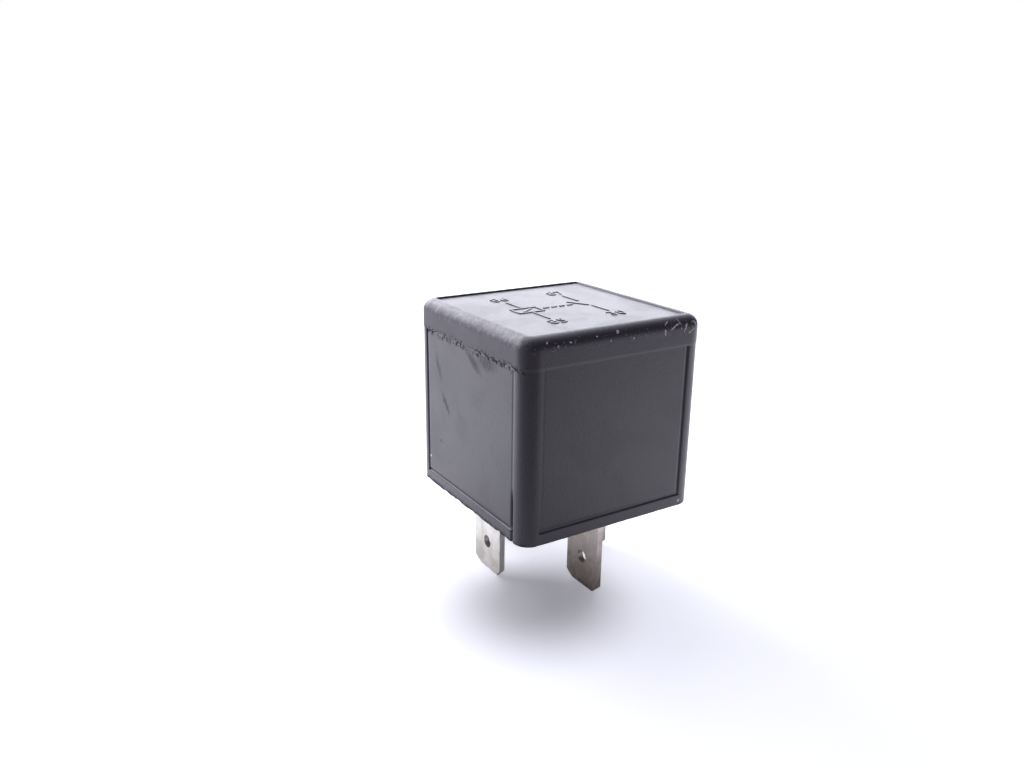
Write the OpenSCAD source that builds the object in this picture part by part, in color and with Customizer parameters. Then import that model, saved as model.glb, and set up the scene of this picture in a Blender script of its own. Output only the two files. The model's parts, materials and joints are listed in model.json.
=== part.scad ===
// Plug-in automotive relay with four blades and one normally open contact.
// The Z axis runs up. Z = 0 is at the tips of the blades, and X = Y = 0 is the
// centre of the square cover. The hinged armature is drawn at rest, open.

/* [Cover] */
// Side of the square cover, measured over its top band
cover_w = 26; // [24:0.5:32]
// Room between the rest stop and the top of the cover's cavity
headroom = 1.24; // [0.4:0.02:6]
// Thickness of the cover's walls and top
cover_wall = 1.3; // [0.9:0.1:1.4]
// Radius of the cover's upright corners
cover_corner_r = 2; // [1.7:0.1:3]
// Radius of the rounded edge round the cover's top
cover_top_r = 1.5; // [0.5:0.1:1.6]
// Height of the proud band round the cover's top
band_h = 3.7; // [2.5:0.1:6]
// Least radius of the cavity's upright corners
cavity_r_min = 0.2; // [0.1:0.1:0.6]
// How far the band stands proud of the skirt below it
band_step = 0.05; // [0.05:0.05:0.3]

/* [Panel grooves] */
// Width of the grooves that frame each side panel
groove_w = 0.35; // [0.2:0.05:0.8]
// Depth of the grooves
groove_d = 0.25; // [0.1:0.05:0.4]
// Distance of the upright grooves from the cover's side, to their centre
groove_inset = 2.5; // [2.2:0.1:5]
// Height of the level groove above the rim, to its centre
groove_rise = 1.7; // [1:0.1:4]

/* [Base] */
// Thickness of the base plate
base_t = 3; // [2.5:0.1:4]
// How far the underside of the base sits up inside the cover's rim
rim_drop = 0.4; // [0.2:0.1:1]
// Gap between the base and the cover, all round
base_gap = 0.1; // [0.05:0.05:0.2]
// Length of the snap lugs on two sides of the base
lug_len = 5; // [3:0.5:8]
// Height of the snap lugs
lug_h = 0.9; // [0.6:0.1:1.2]
// How far the lugs stand out from the base
lug_out = 0.45; // [0.3:0.05:0.5]
// Height of the raised collars round the blades, on the underside
collar_h = 0.3; // [0.1:0.1:0.4]
// Width of the raised collars round the blades
collar_w = 0.6; // [0.4:0.1:0.6]

/* [Blades] */
// Width of each blade
blade_w = 6.3; // [5:0.1:6.5]
// Thickness of each blade
blade_t = 0.8; // [0.6:0.1:1]
// Length of the blades below the cover's rim
blade_len = 10.8; // [9:0.1:14]
// Size of the chamfer at both corners of a blade's tip
tip_chamfer = 1; // [0.5:0.1:1.6]
// Depth of the bevel on the faces of a blade's tip
tip_bevel = 0.2; // [0.1:0.05:0.3]
// Height of the bevel on the faces of a blade's tip
tip_bevel_h = 0.7; // [0.4:0.1:1]
// Diameter of the detent hole in each blade
hole_d = 1.7; // [1:0.1:2.2]
// Height of the detent hole above the tip
hole_up = 4.1; // [3:0.1:5]
// How far a terminal's shoulders reach past the blade, each side
shoulder_w = 0.5; // [0.3:0.1:0.8]
// Height of the terminals' shoulders above the base
shoulder_h = 0.8; // [0.5:0.1:1.2]
// Distance of the two coil blades from the centre, along X
row_x = 8.4; // [8.2:0.1:9.5]
// Place of the two coil blades along Y
row_y = 2.1; // [1.2:0.1:3]
// Distance of the common blade's edge from the base's edge
common_edge = 0.7; // [0.4:0.1:1.2]
// Distance of the normally open blade's centre from the base's edge
open_edge = 1.45; // [1.1:0.05:1.8]
// Width of the common blade's tenon in the yoke's foot
tenon_w = 3; // [2:0.1:4]
// Width of the coil blades' tails
tail_w = 2.4; // [1.6:0.1:3]
// Length of the coil blades' tails above the wires
tail_end = 1.4; // [0.8:0.1:2]

/* [Magnet] */
// Thickness of the yoke's steel
yoke_t = 1.6; // [1.2:0.1:1.9]
// Width of the yoke
yoke_w = 12; // [10:0.5:14]
// Space behind the yoke, up to the cover
back_space = 1.35; // [1.1:0.05:1.6]
// Reach of the yoke's foot past the centre of the coil
yoke_foot = 5.5; // [4:0.1:8]
// Space between the yoke and the bobbin's flanges
coil_space = 0.5; // [0.2:0.1:0.8]
// Diameter of the iron core
core_d = 6; // [5:0.1:6.4]
// Diameter of the core's riveted end
tenon_d = 4.4; // [3:0.1:4.8]
// Diameter of the pole face
pole_d = 9; // [8:0.1:10]
// Thickness of the pole face
pole_t = 1; // [0.8:0.1:1.3]
// How far the bobbin's square flanges stand out past the winding
flange_rim = 0.5; // [0.4:0.05:0.7]
// Thickness of the bobbin's flanges
flange_t = 1; // [0.8:0.1:1.2]
// Corner radius of the bobbin's flanges
flange_r = 1.5; // [0.5:0.1:3]
// Outer diameter of the bobbin's tube
tube_d = 8; // [7.4:0.1:9]
// Height of the winding between the flanges
winding_h = 10.5; // [8:0.1:11.5]
// Outer diameter of the winding
winding_d = 13.4; // [11:0.1:14]
// Diameter of the winding's two end wires
wire_d = 0.4; // [0.3:0.05:0.6]
// Height of the end wires above the bobbin's lower flange
wire_rise = 0.6; // [0.4:0.1:1.2]
// How far the end wires stick out past the tails
wire_out = 0.3; // [0.1:0.1:0.6]
// Thickness of the tape round the winding
tape_t = 0.15; // [0.1:0.05:0.2]
// Distance of the tape's lower edge above the end wires
tape_rise = 0.8; // [0.5:0.1:3]

/* [Armature] */
// Thickness of the armature
arm_t = 1.5; // [1.2:0.1:1.8]
// Width of the armature at the hinge
arm_w = 12; // [10:0.5:13]
// Gap between the armature's front edge and the contacts
arm_front = 0.9; // [0.6:0.1:2]
// How far the armature's front corners are cut back across
arm_cut_w = 2; // [0.5:0.1:3]
// How far the armature's front corners are cut back along
arm_cut_l = 4; // [1:0.1:6]
// Angle by which the armature stands open at rest
open_deg = 3.2; // [2:0.1:4]
// Gap that stays under the closed armature
air_gap = 0.05; // [0.03:0.01:0.1]
// Clearance between the armature's rear chamfer and the spring's bend
bend_clear = 0.1; // [0.05:0.05:0.2]
// Least height of the armature's rear edge
arm_edge = 0.2; // [0.1:0.1:0.5]
// Setback of the armature's rear edge from the hinge edge
arm_setback = 0.3; // [0.2:0.05:0.5]

/* [Contacts] */
// Thickness of the leaf spring
spring_t = 0.3; // [0.2:0.05:0.4]
// Width of the leaf spring on the yoke
spring_w = 8; // [7.4:0.1:10]
// Width of the leaf spring at the contact
tongue_w = 5; // [4:0.1:6]
// Height of the leaf spring's lower edge above the base
spring_rise = 6.6; // [4:0.1:8]
// Where the tongue starts to narrow, back from the armature's front
taper_from = 6; // [4:0.1:8]
// Where the tongue stops narrowing, back from the armature's front
taper_to = 1; // [0.5:0.1:2]
// Inner radius of the spring's bend over the hinge
bend_r = 1.2; // [1:0.1:1.3]
// Width of the window in the spring's bend
window_w = 3; // [2:0.1:3.4]
// Depth of the window below the hinge
window_drop = 2.4; // [1:0.1:4]
// How far the window runs past the bend
window_past = 0.2; // [0.1:0.1:0.4]
// Distance of the contacts from the normally open blade's centre
contact_in = 2.5; // [2.2:0.1:3]
// Diameter of the contact faces
contact_d = 3; // [2.4:0.1:3.2]
// Diameter of the contacts' shanks
shank_d = 1.8; // [1.2:0.1:2.2]
// Diameter of the contacts' riveted ends
contact_end_d = 2.2; // [2:0.1:2.4]
// Height of the moving contact's face below the spring
moving_h = 0.8; // [0.6:0.1:1]
// Height of the fixed contact's face above its arm
fixed_h = 0.6; // [0.4:0.1:0.9]
// Diameter of the rivets' shanks
rivet_d = 1.4; // [1:0.1:1.6]
// Diameter of the rivets' heads
rivet_head_d = 2.2; // [1.8:0.1:2.4]
// Thickness of the rivets' heads
rivet_head_t = 0.4; // [0.3:0.05:0.5]
// Thickness of the rivets' formed ends
rivet_end_t = 0.25; // [0.2:0.05:0.3]
// Height of the yoke's rivets above the spring's lower edge
rivet_rise = 1.8; // [1.3:0.1:4]
// Distance between the rivets of a pair
rivet_pitch = 5.6; // [5.2:0.1:6]
// Distance of the armature's rivets from the hinge
rivet_out = 3.2; // [2.9:0.1:3.4]
// Width of the normally open contact's arm
arm87_w = 5; // [4:0.1:5.6]
// How far terminal 87's arm reaches past its contact
arm87_past = 0.2; // [0.1:0.1:0.4]
// Thickness of the rest stop's strip
stop_t = 0.6; // [0.4:0.1:0.8]
// Width of the rest stop's upright
stop_w = 3; // [2:0.1:4]
// Distance between the rest stop and terminal 87's shoulder
stop_space = 0.5; // [0.4:0.1:1]
// Thickness of the base that is left under the rest stop's foot
stop_floor = 1; // [0.6:0.1:1.6]
// Gap between the rest stop and what it stops
stop_gap = 0.05; // [0.03:0.01:0.2]
// Clearance round a piece that sits in a hole or slot
fit = 0.04; // [0.02:0.01:0.08]

/* [Hidden] */
$fn = 64;
// Overshoot of a cutting solid past the face that it cuts
cut = 1;
// Half sizes of the cover's skirt and cavity, and of the base
skirt_half = cover_w / 2 - band_step;
skirt_r = cover_corner_r - band_step;
cavity_half = skirt_half - cover_wall;
cavity_r = max(skirt_r - cover_wall, cavity_r_min);
base_half = cavity_half - base_gap;
// Places of the blades and the magnet along Y
common_y = -(base_half - common_edge - blade_w / 2);
open_y = base_half - open_edge;
flange_w = winding_d + 2 * flange_rim;
hinge_y = -(cavity_half - back_space);
coil_y = hinge_y + yoke_t + coil_space + flange_w / 2;
contact_y = open_y - contact_in;
// Distances from the hinge edge, which is the top of the yoke's back
contact_out = contact_y - hinge_y;
arm_len = contact_out - contact_d / 2 - arm_front;
// Heights of the stack, from the blades' tips up
rim_z = blade_len;
base_z = rim_z + rim_drop;
deck_z = base_z + base_t;
foot_z = deck_z + yoke_t;
winding_z = foot_z + flange_t;
flange_z = winding_z + winding_h;
hinge_z = flange_z + flange_t + pole_t;
lug_z = base_z + base_t / 2;
// Heights above the hinge in the closed position
arm_top = air_gap + arm_t;
arm_chamfer = min(bend_r - arm_setback + bend_clear, arm_t - arm_edge);
// Centre of the spring's bend, which meets the tilted armature
bend_y = hinge_y + bend_r;
bend_z = hinge_z + (arm_top - bend_r + bend_r * sin(open_deg)) / cos(open_deg);
// Flats that make up each side of the bend
bend_steps = 10;
spring_z = deck_z + spring_rise;
spring_rivet_z = spring_z + rivet_rise;
// The contacts when the armature is closed
fixed_z = hinge_z + arm_top - moving_h - air_gap;
arm87_z = fixed_z - fixed_h;
arm87_end = contact_y - contact_d / 2 - arm87_past;
// The rest stop lies over the moving contact's riveted end
stop_r = contact_end_d / 2;
stop_z = hinge_z + (contact_out + stop_r) * sin(open_deg)
    + (arm_top + spring_t + rivet_head_t) * cos(open_deg) + stop_gap;
stop_x = blade_w / 2 + shoulder_w + stop_space;
stop_y = open_y - stop_t / 2;
stop_depth = base_t - stop_floor;
// The cover closes over the rest stop
top_z = stop_z + stop_t + headroom + cover_wall;
band_z = top_z - band_h;
// The coil blades' tails and the wires that end on them
wire_z = winding_z + wire_rise;
tail_z = wire_z + tail_end;
wire_start = sqrt(pow(winding_d / 2, 2) - pow(row_y - coil_y, 2)) - wire_d;
wire_end = row_x + blade_t / 2 + wire_out;
tape_z = wire_z + tape_rise;

// A point of the tilted armature in the YZ plane, from its place in the hinge's frame
function on_arm(y, z) = [
    hinge_y + y * cos(open_deg) - z * sin(open_deg),
    hinge_z + y * sin(open_deg) + z * cos(open_deg)
];

// Points along one side of the spring's bend, from angle a to angle b
function bend_arc(r, a, b) = [
    for (i = [0:bend_steps])
        let (t = a + (b - a) * i / bend_steps)
            [bend_y + r * cos(t), bend_z + r * sin(t)]
];

// A square outline with rounded corners, given by its half side
module rounded_square(half, r) {
    square([2 * half, 2 * (half - r)], center = true);
    square([2 * (half - r), 2 * half], center = true);
    for (x = [-1, 1], y = [-1, 1])
        translate([x * (half - r), y * (half - r)])
            circle(r);
}

// Stands an outline in the YZ plane and extrudes it along X, centred
module across(w) {
    rotate([90, 0, 90])
        linear_extrude(w, center = true)
            children();
}

// Places children in the hinge's frame, turned by the rest angle
module on_hinge() {
    translate([0, hinge_y, hinge_z])
        rotate([open_deg, 0, 0])
            children();
}

// Repeats children on all four sides of the cover
module each_side() {
    for (a = [0:90:270])
        rotate([0, 0, a])
            children();
}

// The solid top of the cover, with its rounded edge
module band_block() {
    half = cover_w / 2 - cover_corner_r;
    hull()
        for (x = [-1, 1], y = [-1, 1])
            translate([x * half, y * half, band_z]) {
                cylinder(h = band_h - cover_top_r, r = cover_corner_r, $fn = 32);
                translate([0, 0, band_h - cover_top_r])
                    rotate_extrude($fn = 32)
                        intersection() {
                            translate([cover_corner_r - cover_top_r, 0])
                                circle(cover_top_r, $fn = 32);
                            square([cover_corner_r, cover_top_r]);
                        }
            }
}

// The grooves of one side panel, on the side that faces -Y
module panel_grooves() {
    x = cover_w / 2 - groove_inset;
    z = rim_z + groove_rise;
    for (side = [-1, 1])
        translate([side * x - groove_w / 2, -skirt_half - cut, z - groove_w / 2])
            cube([groove_w, groove_d + cut, band_z - z + groove_w / 2]);
    translate([-x, -skirt_half - cut, z - groove_w / 2])
        cube([2 * x, groove_d + cut, groove_w]);
}

module cover() {
    color([0.24, 0.24, 0.27])
        difference() {
            union() {
                band_block();
                translate([0, 0, rim_z])
                    linear_extrude(band_z - rim_z)
                        rounded_square(skirt_half, skirt_r);
            }
            translate([0, 0, rim_z - cut])
                linear_extrude(top_z - cover_wall - rim_z + cut)
                    rounded_square(cavity_half, cavity_r);
            each_side()
                panel_grooves();
            // Pockets whose lower faces rest against the base's snap lugs
            for (side = [0, 180])
                rotate([0, 0, side])
                    translate([0, -lug_len / 2 - fit, lug_z - lug_h / 2])
                        cube([cavity_half - base_gap + lug_out + fit,
                            lug_len + 2 * fit, lug_h + fit]);
        }
}

// The outline that a blade's slot takes in the base, grown by a margin
module blade_slot(margin) {
    square([blade_w + 2 * margin, blade_t + 2 * margin], center = true);
}

// Places children at each blade, with the blade's width along the child's X
module at_blades() {
    for (side = [-1, 1])
        translate([side * row_x, row_y, 0])
            rotate([0, 0, 90])
                children();
    translate([0, common_y, 0])
        rotate([0, 0, 90])
            children();
    translate([0, open_y, 0])
        children();
}

module base() {
    color([0.16, 0.16, 0.17])
        difference() {
            union() {
                translate([0, 0, base_z])
                    linear_extrude(base_t)
                        rounded_square(base_half, cavity_r);
                intersection() {
                    at_blades()
                        translate([0, 0, base_z - collar_h])
                            linear_extrude(collar_h)
                                blade_slot(collar_w);
                    translate([0, 0, base_z - collar_h])
                        linear_extrude(collar_h)
                            rounded_square(base_half, cavity_r);
                }
                for (side = [0, 180])
                    rotate([0, 0, side])
                        translate([base_half - cut, -lug_len / 2, lug_z - lug_h / 2])
                            cube([lug_out + cut, lug_len, lug_h]);
            }
            at_blades()
                translate([0, 0, rim_z - cut])
                    linear_extrude(base_t + 2 * cut + rim_drop)
                        blade_slot(fit);
            translate([stop_x - fit, stop_y - fit, deck_z - stop_depth])
                cube([stop_w + 2 * fit, stop_t + 2 * fit, stop_depth + cut]);
        }
}

// A blade from its tip up to a height, its width along X
module blade(top) {
    difference() {
        intersection() {
            rotate([90, 0, 0])
                linear_extrude(blade_t, center = true)
                    polygon([
                        [tip_chamfer - blade_w / 2, 0],
                        [blade_w / 2 - tip_chamfer, 0],
                        [blade_w / 2, tip_chamfer],
                        [blade_w / 2, top],
                        [-blade_w / 2, top],
                        [-blade_w / 2, tip_chamfer]
                    ]);
            across(blade_w)
                polygon([
                    [tip_bevel - blade_t / 2, 0],
                    [blade_t / 2 - tip_bevel, 0],
                    [blade_t / 2, tip_bevel_h],
                    [blade_t / 2, top],
                    [-blade_t / 2, top],
                    [-blade_t / 2, tip_bevel_h]
                ]);
        }
        translate([0, 0, hole_up])
            rotate([90, 0, 0])
                cylinder(h = blade_t + 2 * cut, r = hole_d / 2, center = true);
    }
}

// The shoulders by which a terminal sits on the base, the width along X
module shoulders() {
    translate([-blade_w / 2 - shoulder_w, -blade_t / 2, deck_z])
        cube([blade_w + 2 * shoulder_w, blade_t, shoulder_h]);
}

module terminal_30() {
    color([0.72, 0.7, 0.64])
        translate([0, common_y, 0])
            rotate([0, 0, 90]) {
                blade(deck_z);
                translate([-tenon_w / 2, -blade_t / 2, base_z])
                    cube([tenon_w, blade_t, foot_z - fit - base_z]);
            }
}

// A coil terminal, with a tail that holds one end of the winding
module coil_terminal(side) {
    color([0.8, 0.79, 0.75])
        translate([side * row_x, row_y, 0])
            rotate([0, 0, 90])
                difference() {
                    union() {
                        blade(deck_z + shoulder_h);
                        shoulders();
                        translate([-tail_w / 2, -blade_t / 2, base_z])
                            cube([tail_w, blade_t, tail_z - base_z]);
                    }
                    translate([0, 0, wire_z])
                        rotate([90, 0, 0])
                            cylinder(h = blade_t + 2 * cut, r = wire_d / 2 + fit, center = true);
                }
}

module terminal_85() {
    coil_terminal(1);
}

module terminal_86() {
    coil_terminal(-1);
}

// What is cut away to round an outer corner by r, seen from the arc's centre.
// sx and sy are the signs of the corner's direction.
module corner_waste(r, sx, sy) {
    difference() {
        translate([sx > 0 ? 0 : -r - cut, sy > 0 ? 0 : -r - cut])
            square(r + cut);
        circle(r);
    }
}

// A strip's side view: an upright at y0 that turns towards -Y at the top
module bent_strip(y0, t, z0, z1, y_end) {
    difference() {
        polygon([
            [y0, z0],
            [y0 + t, z0],
            [y0 + t, z1],
            [y_end, z1],
            [y_end, z1 - t],
            [y0, z1 - t]
        ]);
        translate([y0, z1 - t])
            corner_waste(t, 1, 1);
    }
}

module terminal_87() {
    color([0.78, 0.66, 0.5])
        difference() {
            union() {
                translate([0, open_y, 0]) {
                    blade(deck_z + shoulder_h);
                    shoulders();
                }
                across(arm87_w)
                    bent_strip(open_y - blade_t / 2, blade_t, base_z, arm87_z, arm87_end);
            }
            translate([0, contact_y, arm87_z - blade_t - cut])
                cylinder(h = blade_t + 2 * cut, r = shank_d / 2 + fit);
        }
}

module yoke() {
    color([0.66, 0.67, 0.69])
        difference() {
            across(yoke_w)
                difference() {
                    polygon([
                        [hinge_y, deck_z],
                        [coil_y + yoke_foot, deck_z],
                        [coil_y + yoke_foot, foot_z],
                        [hinge_y + yoke_t, foot_z],
                        [hinge_y + yoke_t, hinge_z],
                        [hinge_y, hinge_z]
                    ]);
                    translate([hinge_y + yoke_t, foot_z])
                        corner_waste(yoke_t, -1, -1);
                }
            translate([0, coil_y, deck_z - cut])
                cylinder(h = yoke_t + 2 * cut, r = tenon_d / 2 + fit);
            translate([-blade_t / 2 - fit, common_y - tenon_w / 2 - fit, deck_z - cut])
                cube([blade_t + 2 * fit, tenon_w + 2 * fit, yoke_t + 2 * cut]);
            for (side = [-1, 1])
                translate([side * rivet_pitch / 2, hinge_y - cut, spring_rivet_z])
                    rotate([-90, 0, 0])
                        cylinder(h = yoke_t + 2 * cut, r = rivet_d / 2 + fit);
        }
}

module core() {
    color([0.6, 0.61, 0.63])
        translate([0, coil_y, 0]) {
            translate([0, 0, deck_z])
                cylinder(h = yoke_t + pole_t, r = tenon_d / 2);
            translate([0, 0, foot_z])
                cylinder(h = hinge_z - pole_t / 2 - foot_z, r = core_d / 2);
            translate([0, 0, hinge_z - pole_t])
                cylinder(h = pole_t, r = pole_d / 2);
        }
}

module bobbin() {
    color([0.86, 0.85, 0.78])
        translate([0, coil_y, 0])
            difference() {
                union() {
                    for (z = [foot_z, flange_z])
                        translate([0, 0, z])
                            linear_extrude(flange_t)
                                rounded_square(flange_w / 2, flange_r);
                    translate([0, 0, foot_z])
                        cylinder(h = flange_z - foot_z + flange_t, r = tube_d / 2);
                }
                translate([0, 0, foot_z - cut])
                    cylinder(h = flange_z - foot_z + flange_t + 2 * cut, r = core_d / 2 + fit);
            }
}

module coil_winding() {
    color([0.66, 0.33, 0.16])
        union() {
            translate([0, coil_y, winding_z])
                difference() {
                    cylinder(h = winding_h, r = winding_d / 2);
                    translate([0, 0, -cut])
                        cylinder(h = winding_h + 2 * cut, r = tube_d / 2 + fit);
                }
            for (side = [-1, 1])
                translate([side * wire_start, row_y, wire_z])
                    rotate([0, side * 90, 0])
                        cylinder(h = wire_end - wire_start, r = wire_d / 2);
        }
}

module coil_tape() {
    color([0.75, 0.68, 0.3])
        translate([0, coil_y, tape_z])
            difference() {
                cylinder(h = flange_z - tape_z, r = winding_d / 2 + fit + tape_t);
                translate([0, 0, -cut])
                    cylinder(h = flange_z - tape_z + 2 * cut, r = winding_d / 2 + fit);
            }
}

module armature() {
    color([0.62, 0.63, 0.65])
        on_hinge()
            difference() {
                intersection() {
                    across(arm_w)
                        polygon([
                            [arm_setback, air_gap],
                            [arm_len, air_gap],
                            [arm_len, arm_top],
                            [arm_setback + arm_chamfer, arm_top],
                            [arm_setback, arm_top - arm_chamfer]
                        ]);
                    linear_extrude(arm_top + cut)
                        polygon([
                            [-arm_w / 2, 0],
                            [arm_w / 2, 0],
                            [arm_w / 2, arm_len - arm_cut_l],
                            [arm_w / 2 - arm_cut_w, arm_len],
                            [arm_cut_w - arm_w / 2, arm_len],
                            [-arm_w / 2, arm_len - arm_cut_l]
                        ]);
                }
                for (side = [-1, 1])
                    translate([side * rivet_pitch / 2, rivet_out, air_gap - cut])
                        cylinder(h = arm_t + 2 * cut, r = rivet_d / 2 + fit);
            }
}

// The leaf spring seen from above, from its back to its round tip
module spring_plan() {
    tip = on_arm(contact_out, arm_top).x;
    wide = on_arm(arm_len - taper_from, arm_top).x;
    narrow = on_arm(arm_len - taper_to, arm_top).x;
    back = hinge_y - spring_t - cut;
    polygon([
        [-spring_w / 2, back],
        [spring_w / 2, back],
        [spring_w / 2, wide],
        [tongue_w / 2, narrow],
        [tongue_w / 2, tip],
        [-tongue_w / 2, tip],
        [-tongue_w / 2, narrow],
        [-spring_w / 2, wide]
    ]);
    translate([0, tip])
        circle(tongue_w / 2);
}

module contact_spring() {
    end = contact_out + tongue_w;
    color([0.8, 0.56, 0.35])
        difference() {
            intersection() {
                across(spring_w + 2 * cut)
                    polygon(concat(
                        [[hinge_y, spring_z], [hinge_y - spring_t, spring_z]],
                        bend_arc(bend_r + spring_t, 180, 90 + open_deg),
                        [on_arm(end, arm_top + spring_t), on_arm(end, arm_top)],
                        bend_arc(bend_r, 90 + open_deg, 180)
                    ));
                translate([0, 0, spring_z - cut])
                    linear_extrude(stop_z - spring_z + 2 * cut)
                        spring_plan();
            }
            // The window that makes the bend supple
            translate([-window_w / 2, hinge_y - spring_t - cut, hinge_z - window_drop])
                cube([window_w, spring_t + cut + bend_r + window_past,
                    window_drop + arm_top + 2 * cut]);
            for (side = [-1, 1]) {
                translate([side * rivet_pitch / 2, hinge_y - spring_t - cut, spring_rivet_z])
                    rotate([-90, 0, 0])
                        cylinder(h = spring_t + 2 * cut, r = rivet_d / 2 + fit);
                on_hinge()
                    translate([side * rivet_pitch / 2, rivet_out, arm_top - cut])
                        cylinder(h = spring_t + 2 * cut, r = rivet_d / 2 + fit);
            }
            on_hinge()
                translate([0, contact_out, arm_top - cut])
                    cylinder(h = spring_t + 2 * cut, r = shank_d / 2 + fit);
        }
}

// A rivet along Z: the head stands on z = 0 and the shank runs down through grip
module rivet(head_d, head_t, d, grip, end_d, end_t) {
    cylinder(h = head_t, r = head_d / 2);
    translate([0, 0, -grip - end_t / 2])
        cylinder(h = grip + (head_t + end_t) / 2, r = d / 2);
    translate([0, 0, -grip - end_t])
        cylinder(h = end_t, r = end_d / 2);
}

module moving_contact() {
    color([0.85, 0.85, 0.82])
        on_hinge()
            translate([0, contact_out, arm_top])
                mirror([0, 0, 1])
                    rivet(contact_d, moving_h, shank_d, spring_t, 2 * stop_r, rivet_head_t);
}

module fixed_contact() {
    color([0.85, 0.85, 0.82])
        translate([0, contact_y, arm87_z])
            rivet(contact_d, fixed_h, shank_d, blade_t, 2 * stop_r, rivet_end_t);
}

module rest_stop() {
    color([0.74, 0.74, 0.72])
        union() {
            translate([stop_x + stop_w / 2, 0, 0])
                across(stop_w)
                    bent_strip(stop_y, stop_t, deck_z - stop_depth, stop_z + stop_t,
                        contact_y - stop_r);
            translate([-stop_r, contact_y - stop_r, stop_z])
                cube([stop_x + stop_r + stop_w / 2, 2 * stop_r, stop_t]);
        }
}

// A rivet that holds the spring on the yoke's back
module spring_rivet(side) {
    color([0.7, 0.7, 0.7])
        translate([side * rivet_pitch / 2, hinge_y - spring_t, spring_rivet_z])
            rotate([90, 0, 0])
                rivet(rivet_head_d, rivet_head_t, rivet_d, spring_t + yoke_t,
                    rivet_head_d, rivet_end_t);
}

// A rivet that holds the spring on the armature
module armature_rivet(side) {
    color([0.7, 0.7, 0.7])
        on_hinge()
            translate([side * rivet_pitch / 2, rivet_out, arm_top + spring_t])
                rivet(rivet_head_d, rivet_head_t, rivet_d, spring_t + arm_t,
                    rivet_head_d, rivet_end_t);
}

module spring_rivet_left() {
    spring_rivet(-1);
}

module spring_rivet_right() {
    spring_rivet(1);
}

module armature_rivet_left() {
    armature_rivet(-1);
}

module armature_rivet_right() {
    armature_rivet(1);
}

cover();
base();
terminal_30();
terminal_85();
terminal_86();
terminal_87();
yoke();
core();
bobbin();
coil_winding();
coil_tape();
armature();
contact_spring();
moving_contact();
fixed_contact();
rest_stop();
spring_rivet_left();
spring_rivet_right();
armature_rivet_left();
armature_rivet_right();
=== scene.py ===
"""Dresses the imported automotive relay: cover, blades, base and the switch inside."""
import json
import math

import bpy
import numpy as np
from mathutils import Matrix, Vector


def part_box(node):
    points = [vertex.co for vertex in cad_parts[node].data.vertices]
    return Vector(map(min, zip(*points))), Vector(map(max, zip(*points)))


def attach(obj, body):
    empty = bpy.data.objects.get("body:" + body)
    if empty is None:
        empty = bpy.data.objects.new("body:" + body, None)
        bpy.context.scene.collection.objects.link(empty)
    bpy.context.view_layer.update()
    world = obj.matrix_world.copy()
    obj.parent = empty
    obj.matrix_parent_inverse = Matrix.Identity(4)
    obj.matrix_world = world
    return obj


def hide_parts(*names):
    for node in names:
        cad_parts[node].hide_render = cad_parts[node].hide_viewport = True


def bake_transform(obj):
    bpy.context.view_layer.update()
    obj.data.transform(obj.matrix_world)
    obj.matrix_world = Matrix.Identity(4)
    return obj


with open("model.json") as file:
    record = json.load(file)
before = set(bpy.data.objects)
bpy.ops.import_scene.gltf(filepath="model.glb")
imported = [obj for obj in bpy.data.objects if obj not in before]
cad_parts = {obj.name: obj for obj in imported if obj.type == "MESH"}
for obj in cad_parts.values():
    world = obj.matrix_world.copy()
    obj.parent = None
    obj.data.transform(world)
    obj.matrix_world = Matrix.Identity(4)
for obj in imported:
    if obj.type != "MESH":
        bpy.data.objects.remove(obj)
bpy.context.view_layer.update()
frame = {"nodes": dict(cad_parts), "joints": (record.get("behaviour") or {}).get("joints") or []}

MM = 0.001

# ---------------------------------------------------------------- sizes, mm
COVER_LO, COVER_HI = (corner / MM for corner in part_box("cover"))
RIM_Z = COVER_LO.z
TOP_Z = COVER_HI.z
COVER_HALF = COVER_HI.x
WALL = 1.3
CORNER_R = 2.0
ARC_CENTRE = COVER_HALF - CORNER_R
TOP_R = 1.5
CURVE_STEPS = 13
SMOOTH_ANGLE = 40

# the band round the top stands a little proud of the skirt below it
BAND_H = 3.7
BAND_Z = TOP_Z - BAND_H
BAND_STEP = 0.05
SKIRT_HALF = COVER_HALF - BAND_STEP
CAVITY_HALF = SKIRT_HALF - WALL
CEILING_Z = TOP_Z - WALL

# the panel sunk in the top behind a narrow rim, and the marks raised on it
PANEL_D = 0.2
PANEL_RIM = 0.15
FACE_Z = TOP_Z - PANEL_D
RELIEF_H = 0.09
STROKE_W = 0.28
# how far every raised mark reaches into the face it stands on
SINK = 0.02

# the grooves round the side panels, and the points across each of them
GROOVE_X = COVER_HALF - 2.5
GROOVE_Z = RIM_Z + 1.7
GROOVE_W = 0.35
GROOVE_D = 0.25
GROOVE_ACROSS = GROOVE_W * np.array([-0.8, -0.5, -0.3, -0.12, 0.12, 0.3, 0.5, 0.8])
COLUMN_STEP = 0.25
ROW_STEP = 0.4
# the share of its depth that a groove keeps where it is finer, or filled in the photo,
# and the heights between which a part-filled groove fades
FINE_SHARE = 0.7
FILLED_SHARE = 0.06
PART_FILLED_SHARE = 0.16
PART_FILLED_FADE = (15.5, 18.0)

# the fine line where the step under the band opens on the -X side
PARTING_Z = BAND_Z - 0.07
PARTING_D = 0.07

# the terminal numbers on top, and those on the underside of the base
TOP_NUMBER_SIZE = 2.4
BASE_NUMBER_SIZE = 2.2
BASE_NUMBER_D = 0.17
UNDERSIDE_Z = (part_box("base")[0] / MM).z + 0.3


# ---------------------------------------------------------------- wear, mm
NICK_COUNT = 26
NICK_SEED = 7
NICK_REACH = 11
NICK_WIDTHS = (0.12, 0.45)
NICK_SIZES = (-0.10, 0.20)
NICK_SHARE_ELSEWHERE = 0.18
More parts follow.
